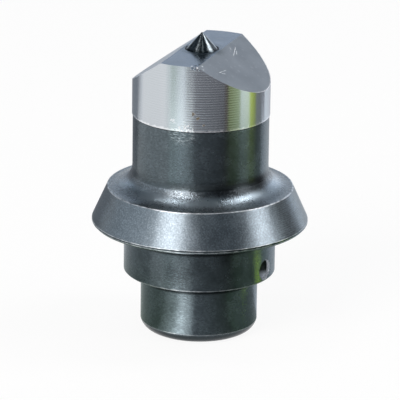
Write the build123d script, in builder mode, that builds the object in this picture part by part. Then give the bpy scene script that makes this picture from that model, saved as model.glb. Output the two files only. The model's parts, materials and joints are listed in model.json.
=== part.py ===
from build123d import *
from math import radians, tan
import os

# Driving sizes in millimetres. The axis is Z, and the foot's flat end lies at Z = 0.

# Spigot: the slim foot that centres the punch in the ram
spigot_dia = 21.7
spigot_length = 11.35
lead_height = 1.85
lead_depth = 1.85
lead_radius = 2.4

# Barrel: the thicker cylinder that the holder grips
barrel_dia = 28.1
barrel_length = 9.25
barrel_edge = 0.2

# Flange: the tapered collar that the coupling nut pulls down
flange_dia = 40.0
rim_height = 0.75
rim_chamfer = 0.35
seat_height = 6.3
seat_angle = 24.2
seat_edge = 0.15

# Shank. A large root radius carries the punching load into the flange,
# and leaves only a narrow flat land round the flange's top.
shank_dia = 25.15
shank_length = 13.85
root_land = 0.6

# Ground tip: one cylinder with two slopes that leave a flat ridge across it.
# The grinding cut runs past the tip by its overrun.
tip_dia = 25.4
tip_length = 12.25
ridge_width = 7.0
slope_angle = 35.0
slope_overrun = 1.0

# Centre point on the ridge, in its fine turned groove
point_dia = 6.0
point_angle = 83.0
point_end_dia = 0.2
groove_depth = 0.2
groove_width = 0.15

# Drilled spot in the barrel, for the holder's set screw
spot_dia = 3.8
spot_wall = 0.7
spot_drill_angle = 118.0
spot_height = 2.2
spot_turn = -10.5

# Radii
spigot_r = spigot_dia / 2
barrel_r = barrel_dia / 2
flange_r = flange_dia / 2
seat_top_r = flange_r - seat_height * tan(radians(seat_angle))
shank_r = shank_dia / 2
root_r = seat_top_r - root_land - shank_r
tip_r = tip_dia / 2
point_r = point_dia / 2
point_end_r = point_end_dia / 2
spot_r = spot_dia / 2

# Heights, each stacked on the one below it
barrel_z = spigot_length
flange_z = barrel_z + barrel_length
rim_z = flange_z + rim_height
flange_top_z = rim_z + seat_height
tip_z = flange_top_z + shank_length
ridge_z = tip_z + tip_length

# Depths that follow from the angles
slope_run = tip_r + slope_overrun - ridge_width / 2
slope_drop = slope_run * tan(radians(slope_angle))
point_height = (point_r - point_end_r) / tan(radians(point_angle / 2))
spot_cone = spot_r / tan(radians(spot_drill_angle / 2))


def ring(part, radius, z):
    """The circular edge of the part with this radius at this height."""
    circles = part.edges().filter_by(GeomType.CIRCLE)
    return circles.sort_by(lambda e: abs(e.radius - radius) + abs(e.arc_center.Z - z))[0]


with BuildPart() as punch:
    # The turned blank, from the foot up to the ridge
    with BuildSketch(Plane.XZ):
        with BuildLine():
            foot = Line((0, 0), (spigot_r - lead_depth, 0))
            lead = RadiusArc(foot @ 1, (spigot_r, lead_height), -lead_radius)
            Polyline(
                lead @ 1,
                (spigot_r, barrel_z),
                (barrel_r, barrel_z),
                (barrel_r, flange_z),
                (flange_r, flange_z),
                (flange_r, rim_z),
                (seat_top_r, flange_top_z),
                (shank_r, flange_top_z),
                (shank_r, tip_z),
                (tip_r, tip_z),
                (tip_r, ridge_z),
                (0, ridge_z),
                (0, 0),
            )
        make_face()
    revolve(axis=Axis.Z)

    # Root radius and broken edges
    fillet(ring(punch, shank_r, flange_top_z), root_r)
    chamfer(ring(punch, seat_top_r, flange_top_z), seat_edge)
    chamfer(ring(punch, flange_r, flange_z), rim_chamfer)
    chamfer(ring(punch, barrel_r, barrel_z), barrel_edge)

    # The two ground slopes, either side of the ridge
    with BuildSketch(Plane.XZ):
        with BuildLine():
            Polyline(
                (ridge_width / 2, ridge_z),
                (ridge_width / 2 + slope_run, ridge_z - slope_drop),
                (ridge_width / 2 + slope_run, ridge_z),
                close=True,
            )
        make_face()
        mirror(about=Plane.YZ)
    extrude(amount=tip_r + slope_overrun, both=True, mode=Mode.SUBTRACT)

    # Groove round the centre point, then the point itself, standing in the groove
    with Locations((0, 0, ridge_z - groove_depth)):
        Cone(
            point_r,
            point_r + groove_width,
            groove_depth,
            align=(Align.CENTER, Align.CENTER, Align.MIN),
            mode=Mode.SUBTRACT,
        )
        Cone(
            point_r,
            point_end_r,
            point_height,
            align=(Align.CENTER, Align.CENTER, Align.MIN),
        )

    # The drilled spot, square to the barrel's surface
    outward = Vector(1, 0, 0).rotate(Axis.Z, spot_turn)
    spot_face = Plane(origin=outward * barrel_r + Vector(0, 0, barrel_z + spot_height), z_dir=outward)
    with Locations(spot_face):
        Hole(spot_r, spot_wall)
    with Locations(spot_face.offset(-spot_wall)):
        Cone(
            0,
            spot_r,
            spot_cone,
            align=(Align.CENTER, Align.CENTER, Align.MAX),
            mode=Mode.SUBTRACT,
        )

punch.part.label = "piercing_punch"

os.makedirs("parts", exist_ok=True)
export_step(punch.part, "parts/piercing_punch.step")
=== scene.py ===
import json
from math import asin, atan2, ceil, cos, degrees, hypot, pi, radians, sin, tan

import bmesh
import bpy
from mathutils import Matrix, Vector


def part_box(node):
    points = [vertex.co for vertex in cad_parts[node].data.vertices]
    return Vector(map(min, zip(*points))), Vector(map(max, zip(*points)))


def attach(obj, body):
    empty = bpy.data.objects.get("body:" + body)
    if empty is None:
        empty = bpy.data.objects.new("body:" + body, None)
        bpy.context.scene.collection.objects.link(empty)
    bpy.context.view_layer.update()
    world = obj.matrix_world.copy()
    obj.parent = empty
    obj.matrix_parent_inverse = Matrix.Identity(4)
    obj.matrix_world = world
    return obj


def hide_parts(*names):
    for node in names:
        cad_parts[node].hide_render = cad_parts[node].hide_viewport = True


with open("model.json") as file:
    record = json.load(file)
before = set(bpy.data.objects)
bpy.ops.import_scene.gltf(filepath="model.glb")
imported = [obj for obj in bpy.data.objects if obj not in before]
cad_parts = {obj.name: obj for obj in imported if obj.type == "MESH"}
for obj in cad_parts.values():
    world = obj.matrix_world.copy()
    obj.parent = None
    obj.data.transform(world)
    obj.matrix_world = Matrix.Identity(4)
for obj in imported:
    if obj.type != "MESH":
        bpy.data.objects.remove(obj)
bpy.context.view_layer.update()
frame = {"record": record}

# Lengths are in millimetres and become metres through MM.
MM = 0.001
mounts = {m["name"]: m for m in frame["record"]["mounts"]}
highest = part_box("piercing_punch")[1]

# Sizes that the frame gives
spigot_r = mounts["spigot"]["dims"]["r_mm"]
barrel_r = mounts["barrel"]["dims"]["r_mm"]
flange_r = highest.x / MM
apex_z = highest.z / MM

# Heights of the turned steps, from the foot upwards
lead_z = 1.85
barrel_z = 11.35
flange_z = 20.6
rim_z = 21.35
flange_top_z = 27.65
tip_z = 41.5
ridge_z = 53.75

# Radii of the turned steps
lead_depth = 1.85
lead_r = spigot_r - lead_depth
lead_bow = 2.4
seat_angle = radians(24.2)
seat_top_r = flange_r - (flange_top_z - rim_z) * tan(seat_angle)
shank_r = 12.575
tip_r = 12.7
root_land = 0.6
root_r = seat_top_r - root_land - shank_r

# Broken edges
barrel_edge = 0.2
rim_chamfer = 0.35
fine_edge = 0.06
seat_edge = 0.2
inner_corner = 0.2

# Ground slopes and centre point
ridge_half = 3.5
slope_angle = radians(35)
point_r = 3.0
point_end_r = 0.1
groove_r = 3.15
groove_depth = 0.2

# Drilled spot in the barrel
spot_axis = Vector(mounts["set_screw_spot"]["axis"])
spot_height = mounts["set_screw_spot"]["pos_m"][2] / MM
spot_r = mounts["set_screw_spot"]["dims"]["r_mm"]
spot_wall = 0.7
spot_drill_angle = radians(118)
spot_cone = spot_r / tan(spot_drill_angle / 2)
drill_overrun = 2.0

# Outer edges with rubbed oxide: radius, height, reach of the wear and its material
worn_edges = [
    (seat_top_r, flange_top_z, seat_edge, "worn_upper"),
    (flange_r - 0.03, rim_z, 0.08, "worn_upper"),
    (flange_r - 0.03, flange_z + rim_chamfer, 0.08, "worn_upper"),
    (barrel_r - barrel_edge / 2, barrel_z + barrel_edge / 2, 0.22, "worn_lower"),
    (spigot_r - 0.02, lead_z, 0.12, "worn_lower"),
]

# Marks on the tip and the shank. Each is a centre and a radius, and a scratch is its two ends and a width.
rusted = [
    ((2.92, -12.36, 45.0), 0.4),
    ((3.71, -12.14, 44.2), 0.4),
    ((4.8, -11.75, 42.9), 0.3),
]
frosted = [
    ((1.6, -12.6, 42.7), 1.1),
    ((0.9, -12.67, 41.8), 1.3),
    ((2.4, -12.47, 41.7), 0.9),
    ((-0.9, -12.67, 43.4), 0.6),
]
rubbed = [
    ((0.8, -12.55, 40.6), 2.2),
    ((1.8, -12.45, 40.9), 2.2),
    ((-0.4, -12.57, 40.8), 1.6),
]
dark_nicks = [
    ((2.7, -12.4, 53.6), 0.32),
    ((3.15, -12.3, 53.4), 0.34),
    ((3.0, -11.4, 53.75), 0.36),
    ((3.3, -10.3, 53.75), 0.3),
    ((3.9, -11.9, 53.2), 0.28),
]
# Nicks with painted glints: lighter spots that stand in for light caught by the nicks
painted_nick_glints = [
    ((2.4, -11.9, 53.75), 0.25),
    ((3.5, -12.1, 53.6), 0.28),
    ((3.8, -10.4, 53.5), 0.24),
    ((4.4, -11.3, 53.1), 0.2),
]
scratches = [
    ((4.0, 3.9, 53.4), (4.5, 3.4, 53.1), 0.16),
    ((4.6, 5.4, 53.0), (5.4, 2.1, 52.4), 0.18),
    ((5.1, 4.4, 52.6), (5.6, 3.4, 52.3), 0.2),
    ((6.2, -7.6, 51.9), (6.5, -5.3, 51.7), 0.2),
    ((6.6, -7.2, 51.6), (6.9, -6.4, 51.4), 0.2),
]

# Fineness of the mesh
segments = 360
arc_step = radians(11)
guard = 0.05
on_axis = 1e-6
sharp_angle = radians(15)

# Distances in metres within which a cut goes through a vertex, and vertices become one
cut_distance = 1e-8
merge_distance = 1e-7

# How a face's finish is told: the upward part of its normal, and slack in millimetres beside steps and edges
wall_tilt = 0.1
flat_tilt = 0.99
step_slack = 0.001
spot_margin = 0.3
spot_sink = 0.003
spot_slack = 0.01
top_slack = 0.01
root_clear = 0.2

# Colours of bare steel, of marks on it and of rubbed oxide
line_dark = (0.43, 0.455, 0.485)
line_light = (0.72, 0.765, 0.805)
rim_steel = (0.8, 0.82, 0.85)
# Colour of frosted scuffs and of painted glints
frost_and_glint_white = (0.85, 0.87, 0.9)
# Colour of cuts, worn edges and flecks, and of painted glints
cut_and_glint_steel = (0.88, 0.9, 0.93)
wall_nick = (0.16, 0.2, 0.26)
face_nick = (0.1, 0.13, 0.16)
rust_brown = (0.12, 0.1, 0.07)
# Colour of the point's painted dark reflection on the ridge and slopes
point_reflection_dark = (0.02, 0.05, 0.07)
point_dark = (0.13, 0.155, 0.17)
point_light = (0.22, 0.245, 0.26)
# Colour of the painted shade at the point's foot
point_foot_shade = (0.03, 0.04, 0.05)
rubbed_oxide = (0.34, 0.37, 0.39)
edge_oxide = (0.13, 0.15, 0.17)


# Mesh of the punch

def bowed(start, end, bow):
    """Points between start and end on an arc of radius bow, which bulges away from the axis."""
    (r0, z0), (r1, z1) = start, end
    half = hypot(r1 - r0, z1 - z0) / 2
    along = ((r1 - r0) / (2 * half), (z1 - z0) / (2 * half))
    deep = (bow * bow - half * half) ** 0.5
    centre = ((r0 + r1) / 2 - along[1] * deep, (z0 + z1) / 2 + along[0] * deep)
    first = atan2(z0 - centre[1], r0 - centre[0])
    sweep = 2 * asin(half / bow)
    count = ceil(sweep / arc_step)
    angles = [first + sweep * i / count for i in range(1, count)]
    return [(centre[0] + bow * cos(a), centre[1] + bow * sin(a)) for a in angles]


def rounded(corners):
    """A profile of (radius, height) points. Each corner gets its rounding, with a guard point on either side
    of it, so that smooth shading stays true along the straight runs."""
    points = [corners[0][:2]]
    for (r0, z0, _), (r1, z1, rounding), (r2, z2, _) in zip(corners, corners[1:], corners[2:]):
        back = Vector((r0 - r1, z0 - z1)).normalized()
        ahead = Vector((r2 - r1, z2 - z1)).normalized()
        corner = Vector((r1, z1))
        if rounding == 0:
            points.append(tuple(corner))
            continue
        opening = back.angle(ahead)
        reach = rounding / tan(opening / 2)
        centre = corner + (back + ahead).normalized() * rounding / sin(opening / 2)
        count = max(2, ceil((pi - opening) / arc_step))
        spoke = corner + back * reach - centre
        sweep = (pi - opening) * (1 if back.cross(ahead) < 0 else -1)
        points.append(tuple(corner + back * (reach + guard)))
        for i in range(count + 1):
            angle = sweep * i / count
            points.append((
                centre.x + spoke.x * cos(angle) - spoke.y * sin(angle),
                centre.y + spoke.x * sin(angle) + spoke.y * cos(angle),
            ))
        points.append(tuple(corner + ahead * (reach + guard)))
    points.append(corners[-1][:2])
    return points


def blank_profile():
    """The turned blank from the centre of the foot's end to the groove round the centre point."""
    bow = [(r, z, 0) for r, z in bowed((lead_r, 0), (spigot_r, lead_z), lead_bow)]
    return rounded([
        (0, 0, 0),
        (lead_r, 0, fine_edge),
        *bow,
        (spigot_r, lead_z, fine_edge),
        (spigot_r, barrel_z, inner_corner),
        (barrel_r - barrel_edge, barrel_z, fine_edge),
        (barrel_r, barrel_z + barrel_edge, fine_edge),
        (barrel_r, flange_z, inner_corner),
        (flange_r - rim_chamfer, flange_z, fine_edge),
        (flange_r, flange_z + rim_chamfer, fine_edge),
        (flange_r, rim_z, fine_edge),
        (seat_top_r, flange_top_z, seat_edge),
        (shank_r, flange_top_z, root_r),
        (shank_r, tip_z, 0),
        (tip_r, tip_z, 0),
        (tip_r, ridge_z, 0),
        (groove_r, ridge_z, 0),
    ])


def turn(mesh, profile):
    """Turns a profile about the axis. A point on the axis becomes one vertex, closed by a fan."""
    angles = [2 * pi * i / segments for i in range(segments)]
    rings = []
    for r, z in profile:
        used = angles if r > on_axis else angles[:1]
        rings.append([mesh.verts.new((r * MM * cos(a), r * MM * sin(a), z * MM)) for a in used])
    for low, high in zip(rings, rings[1:]):
        for i in range(segments):
            k = (i + 1) % segments
            corners = [low[i % len(low)], low[k % len(low)], high[k % len(high)], high[i % len(high)]]
            mesh.faces.new(list(dict.fromkeys(corners)))


def grind_slopes(mesh):
    """Cuts the two slopes off the blank and closes each cut with one flat face."""
    for side in (-1, 1):
        upper = [f for f in mesh.faces if f.calc_center_median().z > tip_z * MM]
        touched = {v for f in upper for v in f.verts} | {e for f in upper for e in f.edges}
        cut = bmesh.ops.bisect_plane(
            mesh,
            geom=upper + list(touched),
            dist=cut_distance,
            plane_co=(side * ridge_half * MM, 0, ridge_z * MM),
            plane_no=(side * sin(slope_angle), 0, cos(slope_angle)),
            clear_outer=True,
        )
        rim = [e for e in cut["geom_cut"] if isinstance(e, bmesh.types.BMEdge) and e.is_boundary]
        bmesh.ops.edgeloop_fill(mesh, edges=rim)


def build_blank():
    """The turned and ground blank with its centre point, before the spot is drilled."""
    mesh = bmesh.new()
    turn(mesh, blank_profile())
    grind_slopes(mesh)
    point = bmesh.new()
    turn(point, [
        (groove_r, ridge_z),
        (point_r, ridge_z - groove_depth),
        (point_end_r, apex_z),
        (0, apex_z),
    ])
    scratch = bpy.data.meshes.new("point")
    point.to_mesh(scratch)
    point.free()
    mesh.from_mesh(scratch)
    bpy.data.meshes.remove(scratch)
    bmesh.ops.remove_doubles(mesh, verts=mesh.verts, dist=merge_distance)
    bmesh.ops.recalc_face_normals(mesh, faces=mesh.faces)
    return mesh


def drill(target, cutter_profile, place):
    """Takes a turned cutter, stood at place, out of the target object."""
    mesh = bmesh.new()
    turn(mesh, cutter_profile)
    bmesh.ops.recalc_face_normals(mesh, faces=mesh.faces)
    data = bpy.data.meshes.new("drill")
    mesh.to_mesh(data)
    mesh.free()
    cutter = bpy.data.objects.new("drill", data)
    bpy.context.scene.collection.objects.link(cutter)
    cutter.matrix_world = place
    modifier = target.modifiers.new("drill", "BOOLEAN")
    modifier.object = cutter
    modifier.operation = "DIFFERENCE"
    modifier.solver = "EXACT"
    cut = target.evaluated_get(bpy.context.evaluated_depsgraph_get())
    result = bpy.data.meshes.new_from_object(cut)
    target.modifiers.clear()
    target.data = result
    bpy.data.objects.remove(cutter)


def build_punch():
    mesh = build_blank()
    data = bpy.data.meshes.new("punch_body")
    mesh.to_mesh(data)
    mesh.free()
    punch = bpy.data.objects.new("punch_body", data)
    bpy.context.scene.collection.objects.link(punch)
    mouth = spot_axis * barrel_r * MM + Vector((0, 0, spot_height * MM))
    place = Matrix.Translation(mouth) @ spot_axis.to_track_quat("Z", "X").to_matrix().to_4x4()
    cutter_profile = [
        (0, -spot_wall - spot_cone),
        (spot_r, -spot_wall),
        (spot_r, drill_overrun),
        (0, drill_overrun),
    ]
    drill(punch, cutter_profile, place)
    return punch


def shade(punch):
    """Smooth shading with a crease wherever two faces meet at more than the sharp angle."""
    mesh = bmesh.new()
    mesh.from_mesh(punch.data)
    for face in mesh.faces:
        face.smooth = True
    for edge in mesh.edges:
        edge.smooth = not edge.is_manifold or edge.calc_face_angle() < sharp_angle
    mesh.to_mesh(punch.data)
    mesh.free()


# Materials

def add(tree, kind, inputs=None, **settings):
    """Adds a node. Each input is a value, or the socket that feeds it."""
    made = tree.nodes.new(kind)
    for name, value in settings.items():
        setattr(made, name, value)
    for name, value in (inputs or {}).items():
        if isinstance(value, bpy.types.NodeSocket):
            tree.links.new(value, made.inputs[name])
        else:
            made.inputs[name].default_value = value
    return made


def calc(tree, operation, *values):
    """The result of one sum on values."""
    made = add(tree, "ShaderNodeMath", dict(enumerate(values)), operation=operation)
    return made.outputs[0]


def times(tree, first, *others):
    """The product of values."""
    for other in others:
        first = calc(tree, "MULTIPLY", first, other)
    return first


def vector_calc(tree, operation, *values):
    """The result of one sum on vectors. A length, a distance and a dot product are single values."""
    made = add(tree, "ShaderNodeVectorMath", dict(enumerate(values)), operation=operation)
    return made.outputs["Value" if operation in ("LENGTH", "DISTANCE", "DOT_PRODUCT") else "Vector"]


def blend(tree, factor, first, second):
    """Mixes two colours. Each is a socket or three numbers."""
    ends = [c if isinstance(c, bpy.types.NodeSocket) else (*c, 1) for c in (first, second)]
    made = add(tree, "ShaderNodeMix", {0: factor, 6: ends[0], 7: ends[1]}, data_type="RGBA")
    return made.outputs[2]


def tint(colour, factor):
    """A colour made darker or lighter."""
    return [c * factor for c in colour]


def span(tree, value, low, high, to_low=0.0, to_high=1.0):
    """Maps the value's range from low..high to to_low..to_high, and holds it there."""
    inputs = {"Value": value, "From Min": low, "From Max": high, "To Min": to_low, "To Max": to_high}
    return add(tree, "ShaderNodeMapRange", inputs).outputs[0]


def stretched(tree, *scale):
    """The place on the object in millimetres, with each axis scaled."""
    place = add(tree, "ShaderNodeTexCoord").outputs["Object"]
    return vector_calc(tree, "MULTIPLY", place, [s / MM for s in scale])


def parts_of(tree, place):
    """The three sockets of a place. The last one is its height."""
    return add(tree, "ShaderNodeSeparateXYZ", {0: place}).outputs


def from_axis(tree):
    """Distance in millimetres from the axis."""
    return vector_calc(tree, "LENGTH", stretched(tree, 1, 1, 0))


def noise(tree, place, scale, detail=2.0, roughness=0.5):
    inputs = {"Vector": place, "Scale": scale, "Detail": detail, "Roughness": roughness}
    return add(tree, "ShaderNodeTexNoise", inputs).outputs[0]


def bump(tree, height, depth, normal=None):
    """Bump from a height of 0 to 1 that stands for a depth in millimetres."""
    inputs = {"Height": height, "Distance": depth * MM, "Strength": 1.0}
    if normal:
        inputs["Normal"] = normal
    return add(tree, "ShaderNodeBump", inputs).outputs[0]


def new_material(name):
    material = bpy.data.materials.new(name)
    material.use_nodes = True
    tree = material.node_tree
    tree.nodes.clear()
    shader = add(tree, "ShaderNodeBsdfPrincipled")
    add(tree, "ShaderNodeOutputMaterial", {"Surface": shader.outputs[0]})
    return material, tree, shader


def link(tree, shader, **inputs):
    """Sets or links the shader's inputs by name, with _ for a space."""
    for name, value in inputs.items():
        socket = shader.inputs[name.replace("_", " ")]
        if isinstance(value, bpy.types.NodeSocket):
            tree.links.new(value, socket)
        else:
            socket.default_value = value


def away_from(tree, place, centre):
    """Distance in millimetres from a point."""
    return vector_calc(tree, "DISTANCE", place, centre)


def stroke(tree, place, start, end, width):
    """A thin line between two points, 1 in its middle and 0 outside its width."""
    start, end = Vector(start), Vector(end)
    run = end - start
    offset = vector_calc(tree, "SUBTRACT", place, start)
    along = vector_calc(tree, "DOT_PRODUCT", offset, run)
    share = span(tree, along, 0.0, run.length_squared)
    nearest = add(tree, "ShaderNodeVectorMath", {0: run, "Scale": share}, operation="SCALE").outputs[0]
    return span(tree, away_from(tree, offset, nearest), width / 2, width / 5)


def strongest(tree, masks):
    """The highest of several masks at each place."""
    total = masks[0]
    for mask in masks[1:]:
        total = calc(tree, "MAXIMUM", total, mask)
    return total


def patch(tree, place, centre, radius, grain):
    """A broken patch round a point: the grain's peaks, fewer towards the patch's rim."""
    near = span(tree, away_from(tree, place, centre), radius, 0.0)
    return times(tree, span(tree, near, 0.0, 0.5), span(tree, grain, 0.5, 0.65))


def blot(tree, place, centre, radius, grain):
    """An uneven spot round a point, 1 in its middle."""
    reach = times(tree, calc(tree, "SUBTRACT", grain, 0.5), 2 * radius)
    return span(tree, calc(tree, "ADD", away_from(tree, place, centre), reach), radius, 0.55 * radius)


def all_marks(tree, kind, place, marks, grain):
    """Every mark of a list, each drawn as a patch or as a blot."""
    return strongest(tree, [kind(tree, place, centre, radius, grain) for centre, radius in marks])


def band(tree, height, middle, half, soft):
    """1 within half a width of a height, fading to 0 over a soft border."""
    apart = calc(tree, "ABSOLUTE", calc(tree, "SUBTRACT", height, middle))
    return span(tree, apart, half + soft, half)


def turning(tree, pitch, waver):
    """Lines round the axis, from 0 to 1, at about this pitch in millimetres."""
    height = parts_of(tree, stretched(tree, 1, 1, 1))[2]
    drift = noise(tree, stretched(tree, 0.05, 0.05, 0.3), 1.0, 0.0)
    turns = calc(tree, "ADD", times(tree, height, 1 / pitch), times(tree, drift, waver))
    wave = calc(tree, "SINE", times(tree, turns, 2 * pi))
    return span(tree, wave, -1.0, 1.0)


def facing(tree, azimuth):
    """Cosine of the angle round the axis between a place and an azimuth of the picture."""
    out = vector_calc(tree, "NORMALIZE", stretched(tree, 1, 1, 0))
    return vector_calc(tree, "DOT_PRODUCT", out, towards(azimuth, 0))


def spun(tree, shader, amount):
    """Turned metal: a highlight is drawn out along the axis, across the fine lines left by the tool."""
    tangent = add(tree, "ShaderNodeTangent", direction_type="RADIAL", axis="Z")
    link(tree, shader, Tangent=tangent.outputs[0], Anisotropic=amount)
    shader.inputs["Anisotropic Rotation"].default_value = 0.25


def worn(tree, distance, width):
    """Broken wear within a width of an edge, given the distance from it."""
    breaks = noise(tree, stretched(tree, 1, 1, 1), 2.0, 3.0)
    reach = span(tree, breaks, 0.35, 0.65, 0.3 * width, 1.6 * width)
    return span(tree, calc(tree, "DIVIDE", distance, reach), 1.0, 0.5)


def over_slopes(tree, parts):
    """Height of a place above the planes of the two slopes and the ridge. It is negative inside the punch."""
    side = calc(tree, "ABSOLUTE", parts[0])
    out = times(tree, calc(tree, "SUBTRACT", side, ridge_half), sin(slope_angle))
    up = calc(tree, "SUBTRACT", parts[2], ridge_z)
    slope = calc(tree, "ADD", out, times(tree, up, cos(slope_angle)))
    return calc(tree, "MAXIMUM", slope, up)


def line_depth(tree):
    """How deep the turning lines are on the tip's side: unevenly, most of all just right of the picture's
    middle, and hardly at all about 50 degrees to the right of it."""
    patchy = noise(tree, stretched(tree, 0.15, 0.15, 0.3), 1.0, 3.0)
    depth = span(tree, patchy, 0.35, 0.6, 0.5, 1.0)
    deep = span(tree, facing(tree, 15), 0.87, 0.96, 0.1, 1.0)
    plain = span(tree, facing(tree, 50), 0.9, 0.966, 1.0, 0.1)
    return times(tree, depth, deep, plain)


def ground_wall():
    """The tip's side: bright steel with turning lines, rust specks, frosted scuffs, nicks, painted glints and
    worn edges.
    """
    material, tree, shader = new_material("ground_wall")
    place = stretched(tree, 1, 1, 1)
    parts = parts_of(tree, place)
    grain = noise(tree, place, 2.5, 2.0)
    depth = line_depth(tree)
    wave = turning(tree, 0.46, 0.12)
    tone = calc(tree, "ADD", times(tree, calc(tree, "SUBTRACT", wave, 0.5), depth), 0.5)
    edge = worn(tree, times(tree, over_slopes(tree, parts), -1.0), 0.1)
    rim = worn(tree, calc(tree, "SUBTRACT", parts[2], tip_z), 0.4)
    frost = all_marks(tree, patch, place, frosted, grain)
    nicks = all_marks(tree, blot, place, dark_nicks, grain)
    # Painted glints on nicks
    glints = all_marks(tree, blot, place, painted_nick_glints, grain)
    rust = all_marks(tree, blot, place, rusted, grain)
    base = blend(tree, tone, line_dark, line_light)
    base = blend(tree, strongest(tree, [times(tree, edge, 0.3), rim]), base, rim_steel)
    base = blend(tree, strongest(tree, [frost, glints]), base, frost_and_glint_white)
    base = blend(tree, nicks, base, wall_nick)
    base = blend(tree, rust, base, rust_brown)
    rough = span(tree, strongest(tree, [frost, rust, nicks]), 0.0, 1.0, 0.2, 0.45)
    light = strongest(tree, [frost, glints, times(tree, rim, 0.2)])
    metal = span(tree, strongest(tree, [rust, times(tree, light, 0.6)]), 0.0, 1.0, 1.0, 0.2)
    normal = bump(tree, times(tree, wave, depth), 0.0025)
    normal = bump(tree, strongest(tree, [frost, nicks]), 0.02, normal)
    link(tree, shader, Base_Color=base, Metallic=metal, Roughness=rough, Normal=normal)
    spun(tree, shader, 0.7)
    return material


def ground_face(name, colour, rough_low, rough_high):
    """A slope or the ridge: flat ground steel, a little uneven, with scratches, nicks, painted glints and a
    worn rim. A painted dark reflection of the point lies round its foot, strongest in front of it."""
    material, tree, shader = new_material(name)
    place = stretched(tree, 1, 1, 1)
    soft = noise(tree, place, 0.25, 3.0)
    grain = noise(tree, place, 2.5, 2.0)
    flecks = noise(tree, stretched(tree, 0.6, 1.0, 1.0), 1.4, 3.0)
    marks = noise(tree, stretched(tree, 0.3, 5, 1), 1.0, 3.0)
    radius = from_axis(tree)
    edge = worn(tree, calc(tree, "SUBTRACT", tip_r, radius), 0.16)
    edge = times(tree, edge, span(tree, facing(tree, 110), 0.4, 0.65), 0.7)
    nicks = all_marks(tree, blot, place, dark_nicks, grain)
    # Painted glints on nicks
    glints = all_marks(tree, blot, place, painted_nick_glints, grain)
    cuts = strongest(tree, [stroke(tree, place, start, end, width) for start, end, width in scratches])
    cuts = times(tree, cuts, span(tree, grain, 0.35, 0.55, 0.3, 1.0))
    # Painted reflection: the point's dark reflection, painted round its foot and strongest in front of it
    painted_point_reflection = span(tree, radius, groove_r + 1.5, groove_r + 0.1)
    painted_point_reflection = times(tree, painted_point_reflection, span(tree, facing(tree, 8), 0.2, 0.85, 0.25, 1.0))
    light = strongest(tree, [edge, cuts, glints, span(tree, flecks, 0.6, 0.72, 0.0, 0.2)])
    base = blend(tree, span(tree, soft, 0.3, 0.7), tint(colour, 0.93), tint(colour, 1.07))
    base = blend(tree, light, base, cut_and_glint_steel)
    base = blend(tree, nicks, base, face_nick)
    base = blend(tree, times(tree, painted_point_reflection, 0.9), base, point_reflection_dark)
    metal = span(tree, light, 0.0, 1.0, 1.0, 0.3)
    rough = span(tree, soft, 0.3, 0.7, rough_low, rough_high)
    rough = calc(tree, "ADD", rough, times(tree, strongest(tree, [light, nicks, painted_point_reflection]), 0.2))
    normal = bump(tree, marks, 0.0012)
    normal = bump(tree, strongest(tree, [cuts, nicks]), -0.02, normal)
    link(tree, shader, Base_Color=base, Metallic=metal, Roughness=rough, Normal=normal)
    return material


def point_steel():
    """The centre point: dark polished steel, with painted shade at its foot."""
    material, tree, shader = new_material("point_steel")
    fine = noise(tree, stretched(tree, 1.2, 1.2, 0.15), 1.5, 3.0)
    height = parts_of(tree, stretched(tree, 1, 1, 1))[2]
    base = blend(tree, span(tree, fine, 0.4, 0.6), point_dark, point_light)
    # Painted shade at the foot of the point, where it meets the groove
    base = blend(tree, span(tree, height, ridge_z + 0.4, ridge_z, 0.0, 0.85), base, point_foot_shade)
    normal = bump(tree, fine, 0.02)
    normal = bump(tree, turning(tree, 0.3, 0.3), 0.002, normal)
    link(tree, shader, Base_Color=base, Metallic=1.0, Roughness=0.18, Normal=normal)
    spun(tree, shader, 0.6)
    return material


def drilled(name, dark, light, low, rough, metal):
    """Part of the drilled spot: uneven between dark and light, with another colour in its low part."""
    material, tree, shader = new_material(name)
    place = stretched(tree, 1, 1, 1)
    height = parts_of(tree, place)[2]
    fine = noise(tree, place, 3.0, 3.0)
    base = blend(tree, span(tree, fine, 0.35, 0.65), dark, light)
    base = blend(tree, span(tree, height, spot_height - 0.5, spot_height - 1.9), base, low)
    normal = bump(tree, fine, 0.02)
    link(tree, shader, Base_Color=base, Metallic=metal, Roughness=rough, Normal=normal)
    return material


def oxide_specks(tree, colour, cloud, speck, contrast):
    """Cloudy oxide with darker and lighter specks."""
    base = blend(tree, span(tree, cloud, 0.3, 0.7), tint(colour, 0.85), tint(colour, 1.15))
    base = blend(tree, span(tree, speck, 0.5, 0.3), base, tint(colour, contrast[0]))
    return blend(tree, span(tree, speck, 0.52, 0.7), base, tint(colour, contrast[1]))


def oxide_wear(tree, place, base, colour, scored):
    """Rubbed patches under the tip, and broken dark lines round the axis in a patch to the right."""
    dashes = noise(tree, stretched(tree, 0.8, 0.8, 3), 1.8, 2.0)
    base = blend(tree, all_marks(tree, patch, place, rubbed, dashes), base, rubbed_oxide)
    scored_patch = span(tree, facing(tree, 66), 0.93, 0.98, 0.0, scored)
    score = times(tree, turning(tree, 0.34, 1.5), scored_patch, span(tree, dashes, 0.35, 0.6))
    return blend(tree, score, base, tint(colour, 0.3))


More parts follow.
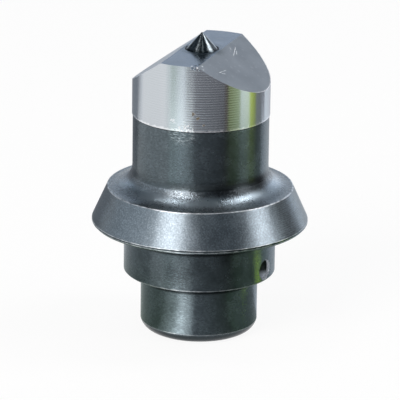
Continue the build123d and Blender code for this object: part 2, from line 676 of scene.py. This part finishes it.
def painted_shade_bands(tree, height, base, colour, dull):
    """Bands round the punch: a lighter one low on the root radius, painted shade high on it that is strongest
    to the right, and painted shade under the tip, the flange and the barrel, and on the lead-in."""
    if dull:
        # A lighter band low on the root radius
        lighter_root_band = band(tree, height, flange_top_z + 1.0, 0.4, 0.45)
        base = blend(tree, lighter_root_band, base, tint(colour, 1.7))
    # Painted shade high on the root radius, strongest to the right
    root = band(tree, height, flange_top_z + 2.8, 0.6, 1.2)
    root = times(tree, root, span(tree, facing(tree, 36), 0.75, 0.93, 0.3, 0.9))
    base = blend(tree, root, base, tint(colour, 0.1))
    # Painted shade under the tip, under the flange, under the barrel and on the lead-in
    dark = strongest(tree, [
        band(tree, height, tip_z, 0.14, 0.05),
        band(tree, height, flange_z - 1.2, 1.0, 0.35),
        band(tree, height, barrel_z - 0.8, 0.6, 0.35),
        span(tree, height, lead_z, lead_z - 0.4, 0.0, 0.85),
    ])
    return blend(tree, dark, base, tint(colour, 0.25))


def oxide(name, colour, rough, fineness, facets, stretch, amount, contrast, dull=0.0, scored=0.0):
    """Black oxide over turned steel: dark, slightly blue, with small facets that glint. There are about as
    many facets to a millimetre as the fineness. They have a height in millimetres, and the stretch is how
    many times longer they are round the axis than along it. The contrast is how much darker and lighter the
    specks are. Dull is how much less metallic the oxide is on the flange's flat top, and scored how strong
    the broken dark lines are."""
    material, tree, shader = new_material(name)
    place = stretched(tree, 1, 1, 1)
    height = parts_of(tree, place)[2]
    cloud = noise(tree, place, 0.4, 4.0)
    facet = noise(tree, stretched(tree, 1, 1, stretch), fineness, 2.0, 0.6)
    speck = noise(tree, stretched(tree, 1, 1, stretch), 1.3 * fineness, 2.0)
    base = oxide_specks(tree, colour, cloud, speck, contrast)
    base = oxide_wear(tree, place, base, colour, scored)
    base = painted_shade_bands(tree, height, base, colour, dull)
    rough = span(tree, cloud, 0.3, 0.7, 0.85 * rough, 1.15 * rough)
    lines = noise(tree, stretched(tree, 0.1, 0.1, 3), 1.0, 3.0)
    normal = bump(tree, lines, 0.009)
    normal = bump(tree, facet, facets, normal)
    metal = span(tree, height, flange_top_z + 0.4, flange_top_z + 1.4, 1.0 - dull, 1.0)
    link(tree, shader, Base_Color=base, Metallic=metal, Roughness=rough, Normal=normal)
    spun(tree, shader, amount)
    return material


def worn_oxide(name, bare):
    """The narrow outer edges, where the oxide is rubbed through to bare steel in places."""
    material, tree, shader = new_material(name)
    place = stretched(tree, 1, 1, 1)
    breaks = noise(tree, place, 0.8, 4.0)
    base = blend(tree, span(tree, breaks, 0.38, 0.62, 0.2, 1.0), edge_oxide, bare)
    normal = bump(tree, noise(tree, place, 4.0, 2.0), 0.02)
    link(tree, shader, Base_Color=base, Metallic=1.0, Roughness=0.4, Normal=normal)
    return material


def finish_of(face):
    """Which of the materials a face of the punch has, by its place and tilt."""
    middle = face.center / MM
    radius = hypot(middle.x, middle.y)
    if radius < groove_r and middle.z > tip_z:
        return "point_steel"
    if middle.z > tip_z + step_slack:
        if face.normal.z < wall_tilt:
            return "ground_wall"
        return "ground_ridge" if face.normal.z > flat_tilt else "ground_slope"
    if barrel_z + spot_margin < middle.z < flange_z - spot_margin and radius < barrel_r - spot_sink:
        offset = middle - Vector((0, 0, spot_height))
        aside = (offset - spot_axis * offset.dot(spot_axis)).length
        return "drilled_wall" if aside > spot_r - spot_slack else "drilled_bottom"
    for r, z, reach, wear in worn_edges:
        if hypot(radius - r, middle.z - z) < reach:
            return wear
    if middle.z > flange_top_z - top_slack:
        return "root_oxide" if radius > shank_r + root_clear else "black_oxide"
    return "seat_oxide" if middle.z > rim_z else "black_oxide"


def make_materials():
    return [
        oxide(
            "black_oxide",
            (0.11, 0.135, 0.15),
            rough=0.26,
            fineness=1.6,
            facets=0.017,
            stretch=2.5,
            amount=0.6,
            contrast=(0.75, 1.35),
        ),
        oxide(
            "seat_oxide",
            (0.15, 0.18, 0.205),
            rough=0.33,
            fineness=2.8,
            facets=0.014,
            stretch=1.0,
            amount=0.3,
            contrast=(0.75, 1.4),
            scored=0.7,
        ),
        oxide(
            "root_oxide",
            (0.17, 0.2, 0.225),
            rough=0.28,
            fineness=3.0,
            facets=0.055,
            stretch=1.0,
            amount=0.4,
            contrast=(0.5, 1.7),
            dull=0.15,
        ),
        worn_oxide("worn_upper", (0.66, 0.69, 0.72)),
        worn_oxide("worn_lower", (0.36, 0.38, 0.4)),
        ground_wall(),
        ground_face("ground_slope", (0.455, 0.475, 0.5), 0.3, 0.36),
        ground_face("ground_ridge", (0.46, 0.51, 0.57), 0.17, 0.21),
        point_steel(),
        drilled(
            "drilled_wall",
            dark=(0.6, 0.65, 0.72),
            light=(0.8, 0.85, 0.92),
            low=(0.7, 0.75, 0.82),
            rough=0.6,
            metal=0.0,
        ),
        # The spot's bottom: near black as painted shade in the hollow, and lighter in its low part as painted
        # light
        drilled(
            "drilled_bottom",
            dark=(0.01, 0.014, 0.016),
            light=(0.03, 0.035, 0.035),
            low=(0.25, 0.28, 0.32),
            rough=0.5,
            metal=1.0,
        ),
    ]


def dress(punch):
    """Gives each face of the punch its material."""
    materials = make_materials()
    punch.data.materials.clear()
    for material in materials:
        punch.data.materials.append(material)
    order = [m.name for m in materials]
    for face in punch.data.polygons:
        face.material_index = order.index(finish_of(face))


# Stage

# The camera, with its distance and its aim in millimetres
view_azimuth = radians(19.78)
view_pitch = radians(18.009)
view_roll = radians(0.7312)
view_distance = 712.3
view_aim = Vector((0, 0, 24.6))
lens_mm = 346.23
sensor_mm = 36.0

# The floor's radius in metres, and the share of it that shows as plain white
floor_radius = 4.0
floor_lift = 0.9

# Cards, in millimetres: height above the floor, borders of the rings on it, and distances of the screens
card_height = 0.3
foot_near = 12
foot_streak_end = 40
inner_near = 46
outer_near = 90
far_near = 138
front_border = 190
right_border = 350
back_border = 400
far_end = 900
screen_distance = 800
low_distance = 100

# Degrees between the lines across a card
card_step = 4

# Lamps, in metres
lamp_distance = 0.9
top_distance = 1.2


def towards(azimuth, elevation):
    """Unit direction from the punch. The azimuth is in degrees from the camera's side, to the right of the
    picture, and the elevation in degrees from level."""
    a = view_azimuth + radians(azimuth)
    e = radians(elevation)
    return Vector((sin(a) * cos(e), -cos(a) * cos(e), sin(e)))


def make_camera():
    data = bpy.data.cameras.new("camera")
    data.lens = lens_mm
    data.sensor_width = sensor_mm
    data.clip_start = 0.01
    data.clip_end = 20
    camera = bpy.data.objects.new("camera", data)
    bpy.context.scene.collection.objects.link(camera)
    turned = (
        Matrix.Rotation(view_azimuth, 4, "Z")
        @ Matrix.Rotation(pi / 2 - view_pitch, 4, "X")
        @ Matrix.Rotation(view_roll, 4, "Z")
    )
    eye = view_aim * MM + towards(0, degrees(view_pitch)) * view_distance * MM
    camera.matrix_world = Matrix.Translation(eye) @ turned
    bpy.context.scene.camera = camera


def lift_to_white(tree, shader, share):
    """Part of the paper shows as plain white to the camera and in metal, and the rest keeps its light and
    shadow."""
    rays = add(tree, "ShaderNodeLightPath").outputs
    seen = strongest(tree, [rays["Is Camera Ray"], rays["Is Glossy Ray"], rays["Is Transmission Ray"]])
    white = add(tree, "ShaderNodeEmission", {"Color": (1, 1, 1, 1), "Strength": 1.0})
    inputs = {0: times(tree, seen, share), 1: shader.outputs[0], 2: white.outputs[0]}
    mixed = add(tree, "ShaderNodeMixShader", inputs)
    output = next(n for n in tree.nodes if n.type == "OUTPUT_MATERIAL")
    tree.links.new(mixed.outputs[0], output.inputs["Surface"])


def make_floor():
    mesh = bmesh.new()
    bmesh.ops.create_circle(mesh, cap_ends=True, segments=96, radius=floor_radius)
    data = bpy.data.meshes.new("floor")
    mesh.to_mesh(data)
    mesh.free()
    floor = bpy.data.objects.new("floor", data)
    bpy.context.scene.collection.objects.link(floor)
    material, tree, shader = new_material("floor_paper")
    link(tree, shader, Base_Color=(0.94, 0.94, 0.94, 1), Roughness=0.9)
    shader.inputs["Specular IOR Level"].default_value = 0.0
    lift_to_white(tree, shader, floor_lift)
    floor.data.materials.append(material)


def card_material():
    """Plain light in the colour that each corner of a card carries."""
    material = bpy.data.materials.new("card")
    material.use_nodes = True
    tree = material.node_tree
    tree.nodes.clear()
    colour = add(tree, "ShaderNodeVertexColor", layer_name="shade")
    glow = add(tree, "ShaderNodeEmission", {"Color": colour.outputs[0]})
    add(tree, "ShaderNodeOutputMaterial", {"Surface": glow.outputs[0]})
    return material


def make_card(name, azimuths, place, first, last=None):
    """A coloured card that only reflections see. It spans the azimuths and fades from the first colour to the
    last. place(azimuth) gives the two ends of each line across it."""
    last = last or first
    count = max(2, ceil(abs(azimuths[1] - azimuths[0]) / card_step))
    mesh = bmesh.new()
    layer = mesh.loops.layers.float_color.new("shade")
    pairs, colours = [], []
    for i in range(count + 1):
        share = i / count
        azimuth = azimuths[0] + (azimuths[1] - azimuths[0]) * share
        pairs.append([mesh.verts.new(p * MM) for p in place(azimuth)])
        colours.append((*(f + (t - f) * share for f, t in zip(first, last)), 1))
    for i in range(count):
        face = mesh.faces.new([pairs[i][0], pairs[i][1], pairs[i + 1][1], pairs[i + 1][0]])
        for loop, k in zip(face.loops, (i, i, i + 1, i + 1)):
            loop[layer] = colours[k]
    data = bpy.data.meshes.new(name)
    mesh.to_mesh(data)
    mesh.free()
    card = bpy.data.objects.new(name, data)
    bpy.context.scene.collection.objects.link(card)
    card.data.materials.append(bpy.data.materials.get("card") or card_material())
    card.visible_camera = False
    card.visible_diffuse = False
    card.visible_shadow = False
    card.visible_transmission = False
    card.visible_volume_scatter = False


def on_floor(near, far, height=card_height):
    """Places a card flat, just above the floor, between two distances from the axis."""
    lift = Vector((0, 0, height))
    return lambda azimuth: [towards(azimuth, 0) * near + lift, towards(azimuth, 0) * far + lift]


def upright(distance, low, high):
    """Places a card upright round the punch, between two heights."""
    return lambda azimuth: [towards(azimuth, 0) * distance + Vector((0, 0, z)) for z in (low, high)]


def make_light(name, direction, size, radiance, colour=(1, 1, 1), distance=lamp_distance):
    """A soft box in a direction of azimuth and elevation. Its radiance is what a mirror would show of it."""
    width, height = size
    data = bpy.data.lights.new(name, "AREA")
    data.shape = "RECTANGLE"
    data.size = width
    data.size_y = height
    data.energy = radiance * pi * width * height
    data.color = colour
    light = bpy.data.objects.new(name, data)
    bpy.context.scene.collection.objects.link(light)
    out = towards(*direction)
    light.location = out * distance + view_aim * MM
    light.rotation_mode = "QUATERNION"
    light.rotation_quaternion = out.to_track_quat("Z", "Y")
    light.visible_camera = False
    return light


def make_world():
    """A soft room: pale at eye level and dim overhead."""
    world = bpy.data.worlds.new("world")
    bpy.context.scene.world = world
    world.use_nodes = True
    tree = world.node_tree
    tree.nodes.clear()
    rise = parts_of(tree, add(tree, "ShaderNodeTexCoord").outputs["Generated"])[2]
    pale = (0.96, 0.96, 0.96)
    dim = (0.16, 0.18, 0.2)
    overhead = (0.02, 0.04, 0.05)
    colour = blend(tree, span(tree, rise, 0.08, 0.6), pale, dim)
    colour = blend(tree, span(tree, rise, 0.6, 0.92), colour, overhead)
    background = add(tree, "ShaderNodeBackground", {"Color": colour, "Strength": 1.0})
    add(tree, "ShaderNodeOutputWorld", {"Surface": background.outputs[0]})


def far_cards():
    """The ring on the floor that the tip mirrors: dark flags in front, with pale, green and grey cards beside
    them."""
    front = on_floor(far_near, front_border)
    far = on_floor(far_near, far_end)
    make_card("flag_behind", (-186, -128), on_floor(outer_near, back_border), (0.23, 0.25, 0.28))
    make_card("far_behind", (-170, -128), on_floor(back_border, far_end), (0.36, 0.38, 0.41))
    make_card("fade_behind", (-128, -110), far, (0.23, 0.25, 0.28), (0.95, 0.97, 1.0))
    make_card("pale_left", (-60, -50), far, (0.95, 0.97, 0.97), (0.62, 0.7, 0.68))
    make_card("dip_left", (-50, -42), far, (0.36, 0.44, 0.4))
    make_card("streak_left", (-42, -28), far, (0.4, 0.46, 0.44), (0.66, 0.7, 0.75))
    make_card("step_left", (-28, -19), far, (0.52, 0.55, 0.57), (0.1, 0.11, 0.12))
    make_card("flag_left", (-19, 2), front, (0.06, 0.06, 0.07), (0.03, 0.03, 0.04))
    make_card("flag_right", (2, 38), front, (0.02, 0.02, 0.03), (0.02, 0.015, 0.025))
    make_card("front_beyond", (-19, 38), on_floor(front_border, far_end), (0.3, 0.3, 0.33))
    make_card("card_brown", (38, 44), far, (0.1, 0.07, 0.06))
    make_card("card_green", (44, 66), far, (0.28, 0.33, 0.13), (0.46, 0.58, 0.33))
    make_card("card_pale", (66, 85), far, (0.95, 1.08, 1.0), (0.95, 1.08, 0.85))
    make_card("card_lime", (85, 100), far, (0.72, 0.88, 0.12), (0.26, 0.31, 0.04))
    make_card("card_grey", (99, 127), far, (0.24, 0.24, 0.26), (0.17, 0.17, 0.2))
    make_card("card_edge", (127, 170), on_floor(far_near, right_border), (0.8, 0.84, 0.9), (0.45, 0.46, 0.5))
    make_card("far_right", (136, 160), on_floor(right_border, far_end), (1.5, 1.6, 1.7))


def near_cards():
    """The two rings on the floor that the barrel and the shank mirror."""
    inner = on_floor(inner_near, outer_near)
    outer = on_floor(outer_near, far_near)
    middle = on_floor(inner_near, far_near)
    wide = on_floor(foot_near, outer_near)
    make_card("inner_behind", (-165, -98), inner, (0.78, 0.82, 0.86), (0.45, 0.48, 0.5))
    make_card("inner_grey", (-98, -70), inner, (0.34, 0.36, 0.37))
    make_card("inner_left", (-48, -14), inner, (0.28, 0.3, 0.3), (0.12, 0.13, 0.14))
    make_card("outer_left", (-52, -34), outer, (1.7, 1.85, 1.85), (2.5, 2.7, 2.7))
    make_card("outer_streak", (-34, -12), outer, (2.5, 2.7, 2.7), (1.5, 1.6, 1.6))
    make_card("inner_dark", (-14, 44), inner, (0.18, 0.19, 0.2), (0.01, 0.015, 0.01))
    make_card("outer_dark", (-12, 44), outer, (0.5, 0.53, 0.56), (0.05, 0.06, 0.06))
    make_card("middle_green", (44, 80), middle, (0.04, 0.07, 0.05), (0.12, 0.18, 0.12))
    make_card("inner_right", (80, 118), inner, (0.25, 0.35, 0.25), (0.65, 0.75, 0.8))
    make_card("outer_right", (80, 118), outer, (0.13, 0.2, 0.12), (0.16, 0.22, 0.2))
    make_card("inner_lime", (83, 94), on_floor(42, 50, 0.5), (2.6, 3.8, 0.2))
    make_card("bright_right", (118, 165), wide, (0.72, 0.8, 0.88), (0.46, 0.5, 0.54))
    make_card("outer_bright", (118, 165), outer, (1.1, 1.2, 1.3), (0.52, 0.56, 0.6))


def foot_cards():
    """The ring on the floor that the spigot mirrors, close round the punch's foot."""
    foot = on_floor(foot_near, inner_near)
    streak = on_floor(foot_near, foot_streak_end)
    make_card("foot_left", (-160, -62), foot, (0.6, 0.65, 0.65), (0.26, 0.33, 0.26))
    make_card("foot_skirt", (-62, -36), foot, (0.26, 0.34, 0.26), (1.5, 1.6, 1.5))
    make_card("foot_rise", (-36, -26), streak, (2.2, 2.3, 2.2), (4.4, 4.4, 4.3))
    make_card("foot_fall", (-26, -8), streak, (4.4, 4.4, 4.3), (0.8, 0.84, 0.86))
    make_card("foot_dark", (-8, 48), foot, (0.42, 0.44, 0.47), (0.1, 0.13, 0.1))
    make_card("foot_right", (48, 118), foot, (0.14, 0.22, 0.14), (0.34, 0.38, 0.4))


def standing_cards():
    """Cards that stand round the punch, most of them far off and the two low ones close to it."""
    front = upright(screen_distance, 140, 1050)
    back = upright(screen_distance, 170, 900)
    make_card("screen_front", (-14, 52), front, (0.3, 0.32, 0.34), (0.12, 0.14, 0.16))
    make_card("screen_grey", (104, 128), upright(screen_distance, 0, 420), (0.26, 0.25, 0.25))
    make_card("screen_back", (128, 205), back, (0.34, 0.38, 0.43), (0.4, 0.47, 0.57))
    make_card("bright_behind", (130, 168), upright(screen_distance, 0, 130), (2.2, 2.35, 2.5))
    make_card("panel_left", (-115, -48), upright(780, 60, 520), (0.75, 0.8, 0.85), (1.4, 1.45, 1.5))
    make_card("screen_left", (-165, -88), upright(screen_distance, 240, 1300), (0.05, 0.07, 0.09))
    make_card("screen_behind", (-172, -128), upright(screen_distance, 0, 240), (0.36, 0.38, 0.41))
    make_card("screen_right", (83, 120), upright(700, 560, 1300), (0.9, 0.92, 0.95))
    make_card("strip_high", (6, 22), upright(300, 520, 1000), (0.8, 0.85, 0.85))
    make_card("low_right", (118, 166), upright(low_distance, 29, 62), (1.1, 1.2, 1.35), (0.94, 1.05, 1.2))
    make_card("low_back", (166, 240), upright(low_distance, 44, 62), (0.94, 1.05, 1.2), (0.7, 0.82, 0.95))


def make_stage():
    make_camera()
    make_floor()
    make_world()
    far_cards()
    near_cards()
    foot_cards()
    standing_cards()
    make_light("key", (-35, 34), (0.42, 0.5), 8.0, (1.0, 0.95, 0.92))
    make_light("key_high", (-88, 68), (0.26, 0.2), 4.6)
    make_light("side", (75, 19), (0.34, 0.26), 6.6, (1.0, 0.96, 0.94))
    make_light("side_high", (101, 50), (0.3, 0.5), 4.4)
    top = make_light("top", (180, 62), (0.9, 0.9), 0.6, distance=top_distance)
    top.visible_glossy = False
    bpy.context.scene.view_settings.view_transform = "Standard"


make_stage()
punch = build_punch()
shade(punch)
dress(punch)
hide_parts("piercing_punch")
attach(punch, "root")
